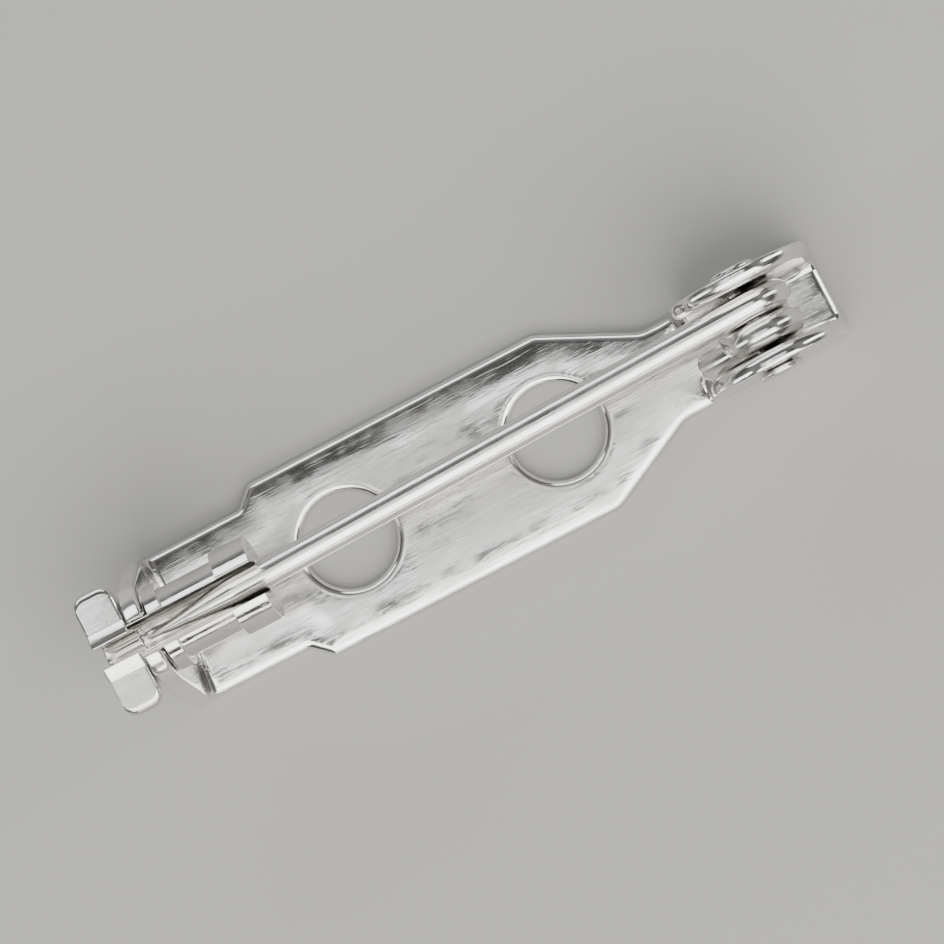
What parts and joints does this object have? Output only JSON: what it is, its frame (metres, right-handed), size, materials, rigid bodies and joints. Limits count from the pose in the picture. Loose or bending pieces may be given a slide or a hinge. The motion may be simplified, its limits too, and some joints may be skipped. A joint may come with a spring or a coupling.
{
  "type": "brooch pin finding",
  "caption": "Narrow stamped bar with two fastening holes, carrying a hinged spring-wire pin and a slotted turning barrel that locks its point.",
  "frame": {"origin": "on the flat back face, half way between the hinge end and the outer face of the catch wall", "axes": "+X along the bar from the hinge end to the catch end, +Z out of the bar towards the pin, +Y across the bar"},
  "size_m": [0.0212, 0.0052, 0.0053],
  "materials": {
    "plated_sheet": "bright silver plating on stamped and folded sheet, fine tumbling marks",
    "plated_rivet": "bright silver plating on an upset rivet",
    "plated_wire": "bright silver plating on drawn spring wire, faint lengthwise lines",
    "plated_barrel": "bright silver plating on a small turned and slotted piece"
  },
  "bodies": {
    "base": {"base_bar": "plated_sheet", "hinge_rivet": "plated_rivet"},
    "pin": {"pin_stem": "plated_wire"},
    "barrel": {"locking_barrel": "plated_barrel"}
  },
  "joints": [
    {"name": "pin_hinge", "type": "hinge", "parent": "base", "child": "pin", "pos_m": [-0.008, 0, 0.00315], "axis": [0, -1, 0], "range_deg": [0, 120]},
    {"name": "barrel_turn", "type": "hinge", "parent": "base", "child": "barrel", "pos_m": [0.00975, 0, 0.00392], "axis": [1, 0, 0], "range_deg": [0, 100]}
  ]
}
